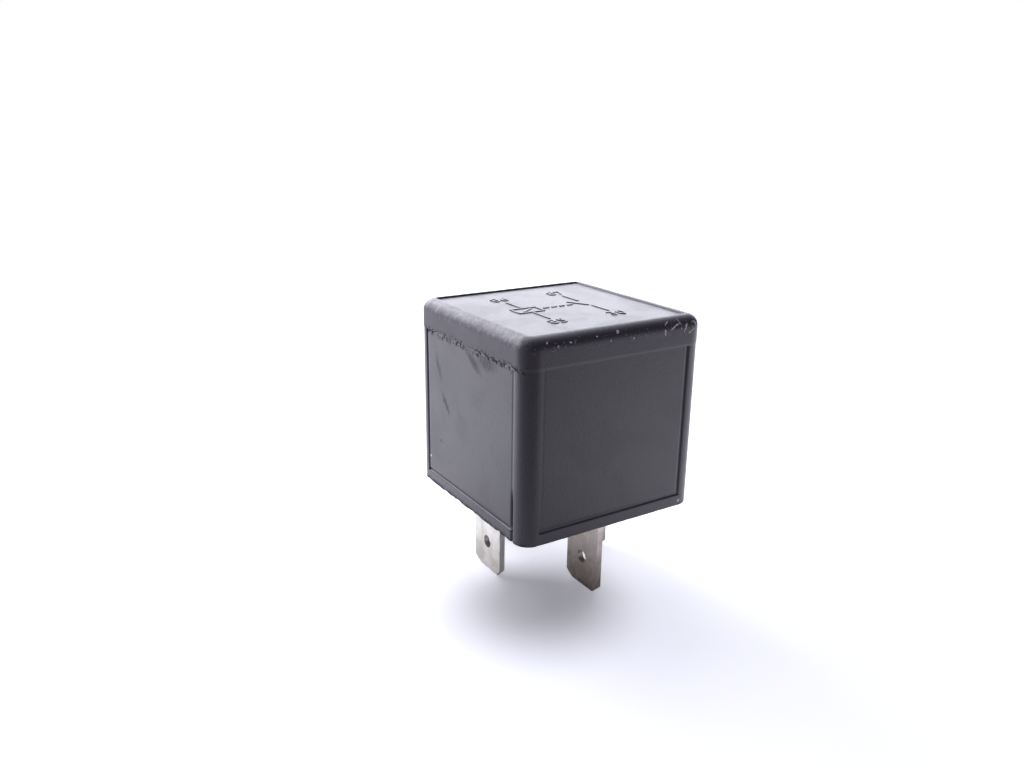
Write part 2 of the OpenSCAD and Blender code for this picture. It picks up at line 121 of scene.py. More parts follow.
# smudges and dirt specks on the -X side: centre, radii, turn, strength
DARK_MARKS = [
    ((-13.0, 5.6, 23.2), (0.8, 0.55, 2.1), (-0.69, 0.0, 0.0), 0.38),
    ((-13.0, -1.4, 30.6), (0.8, 0.8, 3.0), (-1.03, 0.0, 0.0), 0.38),
    ((-13.0, -4.6, 31.2), (0.8, 3.4, 1.2), (0.0, 0.0, 0.0), 0.32),
    ((-13.0, 7.4, 27.6), (0.8, 0.7, 2.6), (-0.35, 0.0, 0.0), 0.22),
    ((-13.0, 6.9, 17.6), (0.5, 0.32, 0.28), (0.0, 0.0, 0.0), 1.00),
    ((-13.0, 0.9, 31.9), (0.5, 0.40, 0.36), (0.0, 0.0, 0.0), 1.00),
    ((-13.0, -2.6, 31.7), (0.5, 0.55, 0.34), (0.0, 0.0, 0.0), 1.00),
    ((-13.0, -7.9, 31.9), (0.5, 0.60, 0.42), (0.0, 0.0, 0.0), 1.00),
]
# pale scratches and chips, one of them painted bright as a glint: centre, radii, turn, inner
# radius of the solid part
LIGHT_MARKS = [
    ((7.2, -12.9, 35.4), (0.10, 0.6, 0.75), (0.0, 0.9, 0.0), 0.8),
    ((8.3, -13.0, 34.8), (0.11, 0.6, 1.05), (0.0, 1.1, 0.0), 0.75),
    ((9.0, -12.9, 35.3), (0.10, 0.6, 0.60), (0.0, -0.5, 0.0), 0.75),
    ((9.9, -13.0, 34.5), (0.09, 0.6, 0.80), (0.0, 0.5, 0.0), 0.75),
    ((10.9, -13.0, 34.0), (0.10, 0.6, 0.55), (0.0, 1.3, 0.0), 0.75),
    ((6.7, -13.0, 34.3), (0.09, 0.5, 0.40), (0.0, 0.2, 0.0), 0.75),
    ((11.4, -12.9, 34.9), (0.12, 0.5, 0.35), (0.0, -0.8, 0.0), 0.75),
    ((-7.1, -12.9, 34.9), (0.17, 0.5, 0.15), (0.0, 0.0, 0.0), 0.75),
    ((-8.8, -13.0, 34.5), (0.12, 0.5, 0.14), (0.0, 0.0, 0.0), 0.75),
    ((-10.1, -12.9, 35.1), (0.14, 0.5, 0.12), (0.0, 0.0, 0.0), 0.75),
    ((-0.4, -12.9, 35.2), (0.18, 0.5, 0.15), (0.0, 0.0, 0.0), 0.75),
    ((-3.3, -12.9, 35.1), (0.13, 0.5, 0.12), (0.0, 0.0, 0.0), 0.75),
    ((-1.5, -13.0, 34.3), (0.10, 0.5, 0.10), (0.0, 0.0, 0.0), 0.75),
    ((1.9, -13.0, 34.2), (0.11, 0.5, 0.10), (0.0, 0.0, 0.0), 0.75),
    # a chip at the foot of the -Y side, painted bright as a glint
    ((10.8, -12.95, 11.5), (0.22, 0.4, 0.20), (0.0, 0.0, 0.0), 0.8),
    ((-12.95, 9.9, 14.4), (0.4, 0.26, 0.20), (0.0, 0.0, 0.0), 0.8),
]

# ---------------------------------------------------------------- cover colours, linear
FRAME_TONES = ((0.009, 0.004, 0.013), (0.018, 0.009, 0.024))
PANEL_TONES = ((0.008, 0.006, 0.012), (0.018, 0.015, 0.025))
SMUDGE_TONE = (0.030, 0.025, 0.036)
# dark for dirt and stains, and for the painted shade along the -X side's rim
DIRT_AND_SHADE_TONE = (0.009, 0.008, 0.010)
DUST_AND_HIGHLIGHT_TONE = (0.22, 0.21, 0.23)
# pale enough to stand for a painted glint as well as scratches and chips
SCRATCH_AND_GLINT_TONE = (0.88, 0.76, 0.82)

# ---------------------------------------------------------------- camera
# angles in radians, place in millimetres with its height taken from the cover's rim
CAMERA_YAW, CAMERA_PITCH, CAMERA_ROLL = 0.562696, 0.309192, 0.0118677
CAMERA_PLACE = (-61.79, -87.65, 48.695 + RIM_Z)
CAMERA_LENS = 30.49
CAMERA_SENSOR = 36.0

# ---------------------------------------------------------------- light, metres
SKY_TINT = (0.89, 0.88, 1.03)
WORLD_AMBIENT = 0.18
# reflections see a surround that is bright behind the object and dark before it
BRIGHT_SIDE = (-0.10, 0.95, 0.30)
BRIGHT_RANGE = (-0.2, 0.75)
WORLD_GLOSSY = (0.25, 1.6)
FLOOR_HALF = 1.5
FLOOR_TONES = ((0.80, 0.80, 0.80), (0.84, 0.84, 0.84))
FLOOR_GLOW_TINT = (0.91, 0.92, 1.04)
# the floor's glow to the camera: from and to a distance, and its strength at each
SHADOW_CENTRE = (-0.009, -0.008, 0.0)
SHADOW_FADE = (0.002, 0.017, 0.02, 0.62)
HORIZON_FADE = (0.10, 0.50, 0.0, 0.5)
# its glow to reflections: growing along x + y, and away from the place under the object
FLOOR_BEHIND = (-0.085, 0.005)
FLOOR_GLOSSY = 1.45
FLOOR_UNDER = (0.010, 0.045)
LAMP_TARGET = (0.0, 0.0, 0.022)
# name, place, size, radiance, tint
LAMPS = [
    ("back_strip", (0.13, 0.24, 0.11), (0.50, 0.12), 3.0, (0.91, 0.94, 1.0)),
    ("back_left", (-0.11, 0.29, 0.19), (0.36, 0.16), 6.8, (0.89, 0.90, 1.0)),
    ("back_far", (0.30, 0.50, 0.17), (0.60, 0.20), 1.5, (0.91, 0.94, 1.0)),
    ("overhead", (0.12, 0.26, 0.50), (0.30, 0.30), 2.2, (0.97, 0.98, 1.0)),
]


# ---------------------------------------------------------------- small tools
def add_object(name, data):
    """A new object in the scene."""
    obj = bpy.data.objects.new(name, data)
    bpy.context.scene.collection.objects.link(obj)
    return obj


def mesh_object(name, verts, faces, smooth_angle=None):
    """A new object from points in millimetres."""
    mesh = bpy.data.meshes.new(name)
    mesh.from_pydata([Vector(v) * MM for v in verts], [], faces)
    mesh.validate()
    if smooth_angle is not None:
        mesh.shade_smooth()
        mesh.set_sharp_from_angle(angle=math.radians(smooth_angle))
    return add_object(name, mesh)


def set_material(obj, material):
    """Gives the whole piece one material."""
    obj.data.materials.clear()
    obj.data.materials.append(material)
    for polygon in obj.data.polygons:
        polygon.material_index = 0


def smoothstep(edge0, edge1, x):
    t = np.clip((x - edge0) / (edge1 - edge0), 0.0, 1.0)
    return t * t * (3.0 - 2.0 * t)


# ---------------------------------------------------------------- materials
class Nodes:
    """A node tree under construction; its place is the point being shaded."""

    def __init__(self, tree, coordinates="Object"):
        self.tree = tree
        self.place = self.node("ShaderNodeTexCoord").outputs[coordinates]

    def node(self, kind, inputs=None, **settings):
        made = self.tree.nodes.new(kind)
        for key, value in settings.items():
            setattr(made, key, value)
        for key, value in (inputs or {}).items():
            self.feed(made.inputs[key], value)
        return made

    def feed(self, socket, value):
        """Links a socket to another, or gives it a plain value (colours: three numbers)."""
        if isinstance(value, bpy.types.NodeSocket):
            self.tree.links.new(value, socket)
        elif socket.type == "RGBA":
            socket.default_value = (*value, 1.0)
        else:
            socket.default_value = value

    def math(self, operation, *values, clamp=False):
        """One operation carried along a row of values."""
        made = values[0]
        for value in values[1:] or (0.0,):
            step = self.node("ShaderNodeMath", {0: made, 1: value}, operation=operation)
            step.use_clamp = clamp
            made = step.outputs[0]
        return made

    def product(self, *values):
        return self.math("MULTIPLY", *values)

    def total(self, *values):
        return self.math("ADD", *values)

    def largest(self, *values):
        return self.math("MAXIMUM", *values) if len(values) > 1 else values[0]

    def vector_math(self, operation, *values, output="Vector"):
        inputs = dict(enumerate(values))
        return self.node("ShaderNodeVectorMath", inputs, operation=operation).outputs[output]

    def ramp(self, value, low, high, out_low=0.0, out_high=1.0):
        """A smooth change from out_low at low to out_high at high."""
        inputs = {
            "Value": value,
            "From Min": low,
            "From Max": high,
            "To Min": out_low,
            "To Max": out_high,
        }
        made = self.node("ShaderNodeMapRange", inputs, interpolation_type="SMOOTHSTEP")
        return made.outputs["Result"]

    def ramp_mm(self, value, low, high, *outs):
        """The same, with low and high in millimetres."""
        return self.ramp(value, low * MM, high * MM, *outs)


class Shade(Nodes):
    """A material under construction, with its Principled shader."""

    def __init__(self, name):
        self.material = bpy.data.materials.new(name)
        self.material.use_nodes = True
        super().__init__(self.material.node_tree)
        self.shader = self.tree.nodes["Principled BSDF"]

    def set(self, **values):
        for key, value in values.items():
            self.feed(self.shader.inputs[key.replace("_", " ")], value)

    def axis(self, letter):
        made = self.node("ShaderNodeSeparateXYZ", {"Vector": self.place})
        return made.outputs[letter]

    def scaled(self, factors):
        """The place stretched along each axis, for streaks."""
        made = self.node("ShaderNodeMapping", {"Vector": self.place, "Scale": factors})
        return made.outputs["Vector"]

    def noise(self, scale, detail=3.0, roughness=0.55, place=None, distortion=0.0):
        inputs = {
            "Vector": place or self.place,
            "Scale": scale,
            "Detail": detail,
            "Roughness": roughness,
            "Distortion": distortion,
        }
        return self.node("ShaderNodeTexNoise", inputs).outputs["Fac"]

    def mix(self, factor, a, b):
        """Between two colours: sockets 6 and 7 are the node's colour inputs."""
        made = self.node("ShaderNodeMix", data_type="RGBA")
        for index, value in ((0, factor), (6, a), (7, b)):
            self.feed(made.inputs[index], value)
        return made.outputs[2]

    def bump(self, height, distance, strength=1.0, below=None):
        inputs = {"Height": height, "Distance": distance, "Strength": strength}
        if below is not None:
            inputs["Normal"] = below
        return self.node("ShaderNodeBump", inputs).outputs["Normal"]

    def warped(self, scale, amount):
        """The place moved about by noise, for ragged edges."""
        inputs = {"Vector": self.place, "Scale": scale, "Detail": 3.0}
        cloud = self.node("ShaderNodeTexNoise", inputs).outputs["Color"]
        centred = self.vector_math("SUBTRACT", cloud, (0.5, 0.5, 0.5))
        return self.vector_math("MULTIPLY_ADD", centred, (amount,) * 3, self.place)

    def spot(self, place, centre, radii, turn=(0.0, 0.0, 0.0), inner=0.4):
        """One inside a turned ellipsoid (millimetres), fading to nothing at its edge."""
        inputs = {
            "Vector": place,
            "Location": Vector(centre) * MM,
            "Rotation": turn,
            "Scale": Vector(radii) * MM,
        }
        local = self.node("ShaderNodeMapping", inputs, vector_type="TEXTURE")
        far = self.vector_math("LENGTH", local.outputs["Vector"], output="Value")
        return self.ramp(far, 1.0, inner)

    def near(self, value, centre, width):
        """One where value is at centre, nothing further off than width (millimetres)."""
        off = self.math("ABSOLUTE", self.math("SUBTRACT", value, centre * MM))
        return self.ramp_mm(off, width, 0.0)


def cover_tone(s, x, y, z, mottle, smudge):
    """The clean colour, a little warmer on the side panels than on the frame round them."""
    frame_tone = s.mix(mottle, *FRAME_TONES)
    panel_tone = s.mix(mottle, *PANEL_TONES)
    beside = s.math("MINIMUM", s.math("ABSOLUTE", x), s.math("ABSOLUTE", y))
    panel = s.product(
        s.ramp_mm(beside, GROOVE_X, GROOVE_X - 0.15),
        s.near(z, (GROOVE_Z + BAND_Z) / 2, (BAND_Z - GROOVE_Z) * 0.62),
    )
    plain = s.mix(panel, frame_tone, panel_tone)
    return s.mix(s.product(smudge, 0.25), plain, SMUDGE_TONE)


def cover_dirt_and_shade(s, z, ragged, speck, on_left):
    """Where the -X side is darkened: dirt along the parting line, painted shade along the rim,
    and stains.
    """
    line_dirt = s.product(s.near(z, BAND_Z - 0.10, 0.80), speck)
    # painted shade: a dark line along the foot of the -X side, where the rim's rounding faces
    # down
    rim_shade = s.product(s.near(z, RIM_Z + 0.1, 0.60), s.ramp(s.noise(1500), 0.36, 0.50))
    grime_and_shade = s.product(s.largest(line_dirt, rim_shade), on_left)
    stains = [
        s.product(s.spot(ragged, centre, radii, turn, 0.2), strength)
        for centre, radii, turn, strength in DARK_MARKS
    ]
    return s.largest(grime_and_shade, *stains)


def cover_scratches_and_glint(s, x, y, z, ragged):
    """Pale marks, one a painted glint, and fine scuffs on the -Y side's upper edge, thickest
    towards +X.
    """
    scuffs = s.product(
        s.near(z, TOP_Z - 1.0, 1.5),
        s.ramp_mm(y, -11.8, -12.6),
        s.ramp_mm(x, -12.0, 10.0, 0.20, 0.60),
        s.ramp(s.noise(2900, 2, 0.5), 0.65, 0.72),
    )
    return s.largest(scuffs, *[s.spot(ragged, *mark) for mark in LIGHT_MARKS])


def cover_dust_and_highlight(s, x, z):
    """Pale dust along the rounding above the -X side, also a painted highlight there."""
    return s.product(
        s.near(z, TOP_Z - 0.6, 1.5),
        s.ramp_mm(x, -11.0, -12.2),
        s.ramp(s.noise(1300, 4, 0.7), 0.44, 0.66, 0.0, 0.5),
    )


def cover_material():
    """Matt black moulding with a fine grain, handling smudges, dirt and scratches."""
    s = Shade("cover_plastic")
    x, y, z = s.axis("X"), s.axis("Y"), s.axis("Z")
    smudge = s.ramp(s.noise(190, 4, 0.6, distortion=0.6), 0.42, 0.68)
    mottle = s.noise(1900, 4, 0.75)
    ragged = s.warped(1400, 0.0009)
    speck = s.ramp(s.noise(1700, 3, 0.6), 0.50, 0.58)
    on_left = s.ramp_mm(x, -12.0, -12.7)
    dark = cover_dirt_and_shade(s, z, ragged, speck, on_left)
    light = cover_scratches_and_glint(s, x, y, z, ragged)

    # dirt, stains and the painted rim shade darken the clean colour
    colour = s.mix(dark, cover_tone(s, x, y, z, mottle, smudge), DIRT_AND_SHADE_TONE)
    # pale dust and painted highlight on the rounding above the -X side
    colour = s.mix(cover_dust_and_highlight(s, x, z), colour, DUST_AND_HIGHLIGHT_TONE)
    s.set(Base_Color=s.mix(light, colour, SCRATCH_AND_GLINT_TONE), IOR=1.6)

    # the band on the -X side is duller than the panel, and the dirt and painted rim shade duller
    # still
    band = s.product(s.ramp_mm(z, BAND_Z - 0.1, BAND_Z + 0.1), on_left)
    rough = s.total(
        s.ramp(smudge, 0.0, 1.0, 0.39, 0.43),
        s.product(mottle, 0.06),
        s.product(band, 0.10),
        s.product(dark, 0.52),
    )
    s.set(Roughness=s.math("MAXIMUM", rough, s.product(light, 0.8), clamp=True))
    grain = s.bump(s.noise(4600, 3, 0.7), 0.00003, 0.9)
    crust = s.bump(s.product(dark, speck), 0.00012, 0.7, below=grain)
    s.set(Normal=s.bump(s.noise(260, 2, 0.5), 0.00002, 0.5, below=crust))
    return s.material


def moulded_material(name, dark, light, rough):
    """A plain moulded plastic."""
    s = Shade(name)
    s.set(Base_Color=s.mix(s.noise(700, 3, 0.6), dark, light))
    s.set(Roughness=s.ramp(s.noise(300, 2, 0.5), 0.3, 0.7, rough - 0.05, rough + 0.08))
    s.set(Normal=s.bump(s.noise(4200, 2, 0.6), 0.000012, 0.7))
    return s.material


def metal_material(name, dark, light, rough, streak=(1.0, 1.0, 0.08), stain=None, amount=0.5):
    """Rolled or plated metal: streaks along the piece, and cloudy stains where asked."""
    s = Shade(name)
    streaks = s.noise(6000, 3, 0.6, place=s.scaled(streak))
    colour = s.mix(streaks, dark, light)
    if stain:
        cloud = s.ramp(s.noise(330, 4, 0.6, distortion=0.5), 0.38, 0.66)
        colour = s.mix(s.product(cloud, amount), colour, stain)
    s.set(Base_Color=colour, Metallic=1.0)
    s.set(Roughness=s.ramp(s.noise(800, 3, 0.6), 0.3, 0.7, rough - 0.06, rough + 0.12))
    s.set(Normal=s.bump(streaks, 0.000006, 0.8))
    return s.material


def shaded_blade_material():
    """Terminal 30's blade, which sits in the body's shadow: a darker copy of the tinned brass as
    painted shade, with brown clouds and painted shade darkest at its tip.
    """
    s = Shade("brass_in_painted_shade")
    streaks = s.noise(6000, 3, 0.6, place=s.scaled((1.0, 1.0, 0.06)))
    cloud = s.ramp(s.noise(420, 4, 0.65, distortion=0.8), 0.36, 0.62)
    # painted shade: both tones are a darker copy of the tinned brass
    clean = s.mix(streaks, (0.56, 0.51, 0.48), (0.74, 0.68, 0.64))
    brown = s.mix(streaks, (0.24, 0.19, 0.16), (0.38, 0.31, 0.27))
    # brown clouds, and painted shade growing towards the tip
    browning_and_tip_shade = s.total(s.product(cloud, 0.30), s.ramp_mm(s.axis("Z"), 9.0, 0.0, 0.0, 0.70))
    s.set(Base_Color=s.mix(s.math("MINIMUM", browning_and_tip_shade, 1.0), clean, brown), Metallic=1.0)
    s.set(Roughness=s.ramp(cloud, 0.0, 1.0, 0.34, 0.52))
    s.set(Normal=s.bump(streaks, 0.000008, 0.8))
    return s.material


# ---------------------------------------------------------------- cover
def side_columns():
    """Places along a straight side, close together across the upright grooves."""
    plain = np.arange(-ARC_CENTRE, ARC_CENTRE + COLUMN_STEP / 2, COLUMN_STEP)
    grooves = np.concatenate([GROOVE_ACROSS - GROOVE_X, GROOVE_ACROSS + GROOVE_X])
    keep = np.abs(np.abs(plain) - GROOVE_X) > GROOVE_W
    return np.sort(np.concatenate([plain[keep], grooves]))


def skirt_rows():
    """Heights of the rings up the skirt, close together across the level groove."""
    plain = np.arange(RIM_Z + ROW_STEP, BAND_Z - 0.2, ROW_STEP)
    keep = np.abs(plain - GROOVE_Z) > GROOVE_W
    return np.sort(np.concatenate([plain[keep], GROOVE_ACROSS + GROOVE_Z]))


def cover_profile():
    """(half size, height) of each ring, from the ceiling out over the rim to the top."""
    rings = [
        (CAVITY_HALF - 0.6, CEILING_Z),
        (CAVITY_HALF - 0.4, CEILING_Z),
        (CAVITY_HALF - 0.1, CEILING_Z - 0.1),
        (CAVITY_HALF, CEILING_Z - 0.4),
    ]
    rings += [(CAVITY_HALF, z) for z in np.linspace(CEILING_Z - 1.0, RIM_Z + 0.3, 12)]
    rings += [
        (CAVITY_HALF, RIM_Z + 0.1),
        (CAVITY_HALF + 0.03, RIM_Z + 0.03),
        (CAVITY_HALF + 0.1, RIM_Z),
        (CAVITY_HALF + 0.6, RIM_Z),
        (SKIRT_HALF - 0.1, RIM_Z),
        (SKIRT_HALF - 0.03, RIM_Z + 0.03),
        (SKIRT_HALF, RIM_Z + 0.1),
        (SKIRT_HALF, RIM_Z + 0.2),
    ]
    rings += [(SKIRT_HALF, z) for z in skirt_rows()]
    rings += [
        (SKIRT_HALF, BAND_Z - 0.18),
        (SKIRT_HALF, BAND_Z - 0.12),
        (SKIRT_HALF, PARTING_Z),
        (SKIRT_HALF, BAND_Z - 0.02),
        (SKIRT_HALF + 0.004, BAND_Z + 0.03),
        (COVER_HALF - 0.004, BAND_Z + 0.25),
        (COVER_HALF, BAND_Z + 0.30),
    ]
    shoulder = TOP_Z - TOP_R
    rings += [(COVER_HALF, z) for z in np.linspace(BAND_Z + 0.5, shoulder, 6)]
    for angle in np.linspace(0, math.pi / 2, CURVE_STEPS)[1:]:
        half = COVER_HALF - TOP_R + TOP_R * math.cos(angle)
        rings.append((half, shoulder + TOP_R * math.sin(angle)))
    # down the edge of the sunk panel, with a flat ring before the one wide face
    edge = COVER_HALF - TOP_R - PANEL_RIM
    rings += [
        (edge, TOP_Z),
        (edge - 0.03, TOP_Z - 0.03),
        (edge - 0.05, FACE_Z + 0.03),
        (edge - 0.08, FACE_Z),
        (edge - 0.28, FACE_Z),
    ]
    return rings


def groove_depth(side, along, height):
    """How deep the panel grooves are, on side 0 (+X), 1 (+Y), 2 (-X) or 3 (-Y)."""
    soft = GROOVE_W / 2 + 0.05
    core = GROOVE_W / 4
    upright = 1 - smoothstep(core, soft, np.abs(np.abs(along) - GROOVE_X))
    to_rim = (side == 2) & (along > 0)
    upright = upright * ((height > GROOVE_Z - soft) | to_rim) * (height < BAND_Z + 0.01)
    level = 1 - smoothstep(core, soft, np.abs(height - GROOVE_Z))
    level = level * (np.abs(along) < GROOVE_X + soft)
    # beside the two corners on the diagonal the upright grooves are nearly filled
    filled = ((side == 3) | (side == 1)) & (along < 0)
    partly = ((side == 2) | (side == 0)) & (along > 0)
    fading = 1 - smoothstep(*PART_FILLED_FADE, height)
    kept = np.where(filled, FILLED_SHARE, 1.0)
    kept = np.where(partly, PART_FILLED_SHARE + (1 - PART_FILLED_SHARE) * fading, kept)
    parting = 1 - smoothstep(0.02, 0.10, np.abs(height - PARTING_Z))
    parting = PARTING_D * parting * ((side == 2) & (np.abs(along) < GROOVE_X))
    # the lines on the -Y side are finer than the others
    fine = np.where(side == 3, FINE_SHARE, 1.0)
    return np.maximum(GROOVE_D * fine * np.maximum(upright * kept, level), parting)


def rim_nicks(side, along, height):
    """How far small nicks and burrs move the rim up, mostly on the -X side."""
    rng = np.random.default_rng(NICK_SEED)
    lift = np.zeros_like(along)
    for _ in range(NICK_COUNT):
        centre = rng.uniform(-NICK_REACH, NICK_REACH)
        width = rng.uniform(*NICK_WIDTHS)
        size = rng.uniform(*NICK_SIZES)
        lift += size * np.exp(-(((along - centre) / width) ** 2))
    weight = np.where(side == 2, 1.0, NICK_SHARE_ELSEWHERE)
    near = 1 - smoothstep(0.05, 0.5, height - RIM_Z)
    return lift * weight * near


def cover_columns():
    """Side, place along it, turn round its corner and straightness of every column."""
    columns = side_columns()
    arc = np.linspace(0, math.pi / 2, CURVE_STEPS)[1:-1]
    along = np.concatenate([columns, np.full(len(arc), ARC_CENTRE)])
    turn = np.concatenate([np.zeros(len(columns)), arc])
    straight = np.concatenate([np.full(len(columns), True), np.full(len(arc), False)])
    sides = np.repeat(np.arange(4), len(along))
    return sides, np.tile(along, 4), np.tile(turn, 4), np.tile(straight, 4)


def build_cover():
    """The cover as one closed shell of rings."""
    sides, along, turn, straight = cover_columns()
    facing = sides * math.pi / 2
    count = len(sides)
    verts = []
    rings = cover_profile()
    for half, z in rings:
        outside = half > CAVITY_HALF + 0.3
        r = half - ARC_CENTRE
        height = np.full(count, z)
        depth = np.where(straight & outside, groove_depth(sides, along, height), 0.0)
        out = np.where(straight, half - depth, ARC_CENTRE + r * np.cos(turn))
        off = np.where(straight, along, ARC_CENTRE + r * np.sin(turn))
        nick = np.where(straight & outside, rim_nicks(sides, along, height), 0.0)
        x = out * np.cos(facing) - off * np.sin(facing)
        y = out * np.sin(facing) + off * np.cos(facing)
        verts += list(zip(x, y, height + nick))
    faces = []
    for row in range(len(rings) - 1):
        a, b = row * count, (row + 1) * count
        for i in range(count):
            j = (i + 1) % count
            faces.append((a + i, a + j, b + j, b + i))
    faces.append(tuple(reversed(range(count))))
    last = (len(rings) - 1) * count
    faces.append(tuple(range(last, last + count)))
    return mesh_object("cover_shell", verts, faces, SMOOTH_ANGLE)


# ---------------------------------------------------------------- raised marks
def stroke_outline(start, stop, width):
    """The outline of a straight stroke with round ends, anticlockwise."""
    start, stop = Vector(start), Vector(stop)
    half = width / 2
    heading = (stop - start).normalized()
    side = Vector((-heading.y, heading.x)) * half

    def cap(centre, facing):
        first = math.atan2(facing.y, facing.x) - math.pi / 2
        return [
            centre + half * Vector((math.cos(first + a), math.sin(first + a)))
            for a in np.linspace(0, math.pi, 9)[1:-1]
        ]

    one_side = [start - side, stop - side] + cap(stop, heading)
    return one_side + [stop + side, start + side] + cap(start, -heading)


def raised_outlines(name, outlines, z0, z1, draft=0.04):
    """Each outline as a low plateau with sloped sides, all in one mesh."""
    verts, faces = [], []
    for outline in outlines:
        n = len(outline)
        centre = sum(outline, Vector((0, 0))) / n
        base = len(verts)
        verts += [(p.x, p.y, z0) for p in outline]
        for p in outline:
            inward = centre - p
            step = inward.normalized() * min(draft, inward.length / 2)
            verts.append((p.x + step.x, p.y + step.y, z1))
        for i in range(n):
            j = (i + 1) % n
            faces.append((base + i, base + j, base + n + j, base + n + i))
        faces.append(tuple(range(base + n, base + 2 * n)))
        faces.append(tuple(reversed(range(base, base + n))))
    return mesh_object(name, verts, faces)


def number_object(name, body, size, place, depth, turn=None):
    """A raised number, its centre at place, standing depth proud along its own Z."""
    curve = bpy.data.curves.new(name, "FONT")
    curve.body = body
    curve.size = size * MM
    curve.align_x = "CENTER"
    curve.align_y = "CENTER"
    curve.extrude = depth / 2 * MM
    curve.space_character = 1.08
    text = add_object(name + "_text", curve)
    bpy.context.view_layer.update()
    graph = bpy.context.evaluated_depsgraph_get()
    mesh = bpy.data.meshes.new_from_object(text.evaluated_get(graph))
    bpy.data.objects.remove(text)
    mesh.transform(Matrix.Translation((0, 0, depth / 2 * MM)))
    if turn:
        mesh.transform(turn)
    mesh.transform(Matrix.Translation(Vector(place) * MM))
    return add_object(name, mesh)


def diagram_lines(coil_x, switch_x, reach):
    """The ends of every stroke: a coil box on the left and an open switch on the right."""
    box_w, box_h = 3.6, 2.2
    low, high = -box_h / 2, box_h / 2
    near, far = coil_x - box_w / 2, coil_x + box_w / 2
    lines = [
        ((coil_x, high + 0.35), (coil_x, reach)),
        ((coil_x, low - 0.35), (coil_x, -reach)),
        ((near, low), (far, low)),
        ((near, high), (far, high)),
        ((near, 0.7), (near, -0.7)),
        ((far, 0.7), (far, -0.7)),
        ((coil_x - 0.9, -0.62), (coil_x + 0.9, 0.62)),
        ((switch_x, -reach), (switch_x, -1.6)),
        ((switch_x - 0.25, -1.1), (switch_x - 1.7, 1.5)),
        ((switch_x, 1.5), (switch_x, reach)),
    ]
    # the dashed link between the coil and the switch
    dashes = 4
    start, stop = far + 0.7, switch_x - 1.5
    pitch = (stop - start) / dashes
    for i in range(dashes):
        lines.append(((start + i * pitch, 0.0), (start + (i + 0.55) * pitch, 0.0)))
    return lines


def top_marks(material):
    """A generic coil and switch diagram with plain terminal numbers, moulded on top."""
    coil_x, switch_x, reach, number_y = -4.4, 4.4, 4.9, 6.6
    outlines = [
        stroke_outline(start, stop, STROKE_W)
        for start, stop in diagram_lines(coil_x, switch_x, reach)
    ]
    pieces = [raised_outlines("top_diagram", outlines, FACE_Z - SINK, FACE_Z + RELIEF_H)]
    spots = {
        "86": (coil_x, number_y),
        "85": (coil_x, -number_y),
        "87": (switch_x, number_y),
        "30": (switch_x, -number_y),
    }
    for body, (x, y) in spots.items():
        place = (x, y, FACE_Z - SINK)
        name = "top_number_" + body
        pieces.append(number_object(name, body, TOP_NUMBER_SIZE, place, RELIEF_H + SINK))
    for piece in pieces:
        set_material(piece, material)
        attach(piece, "housing")


def base_numbers(material):
    """Plain terminal numbers on the underside of the base."""
    flip = Matrix.Rotation(math.pi, 4, "X")
    spots = {"30": (3.4, -7.4), "85": (4.9, 2.1), "86": (-4.9, 2.1), "87": (0.0, 7.4)}
    for body, (x, y) in spots.items():
        place = (x, y, UNDERSIDE_Z + SINK)
        name = "base_number_" + body
        piece = number_object(name, body, BASE_NUMBER_SIZE, place, BASE_NUMBER_D, flip)
        set_material(piece, material)
        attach(piece, "housing")


# ---------------------------------------------------------------- metal parts
def soften_edges(node, width):
    """Rounds a CAD node's sharp edges with a modifier and shades them smoothly."""
    obj = frame["nodes"][node]
    bevel = obj.modifiers.new("soft_edges", "BEVEL")
    bevel.width = width * MM
    bevel.segments = 2
    bevel.limit_method = "ANGLE"
    bevel.angle_limit = math.radians(30)
    bevel.harden_normals = True
    return obj


def tongue_rows(straight, tip_half, root_half, widen):
    """(distance out, half width) of the rows along the tongue and round its tip.

    The tongue widens from root_half to tip_half between the two places in widen.
    """
    rows = []
    for s in np.linspace(0, straight, 22)[1:]:
        blend = float(smoothstep(*widen, s))
        rows.append((s, root_half + (tip_half - root_half) * blend))
    for a in np.linspace(0, math.pi / 2, 9)[1:]:
        rows.append((straight + tip_half * math.sin(a), max(0.05, tip_half * math.cos(a))))
    return rows


def leaf_mesh(rows, window_half, window_rows):
    """The sheet through rows of (y, z, half width), open in the middle of some rows."""
    verts, faces = [], []
    for y, z, half in rows:
        inner = min(window_half, half * 0.45)
        outer = (half + inner) / 2
        verts += [(x, y, z) for x in (-half, -outer, -inner, 0.0, inner, outer, half)]
    across = 7
    for row in range(len(rows) - 1):
        for column in range(across - 1):
            if row in window_rows and column in (2, 3):
                continue
            a = row * across + column
            faces.append((a, a + 1, a + across + 1, a + across))
    return mesh_object("spring_leaf", verts, faces, SMOOTH_ANGLE)


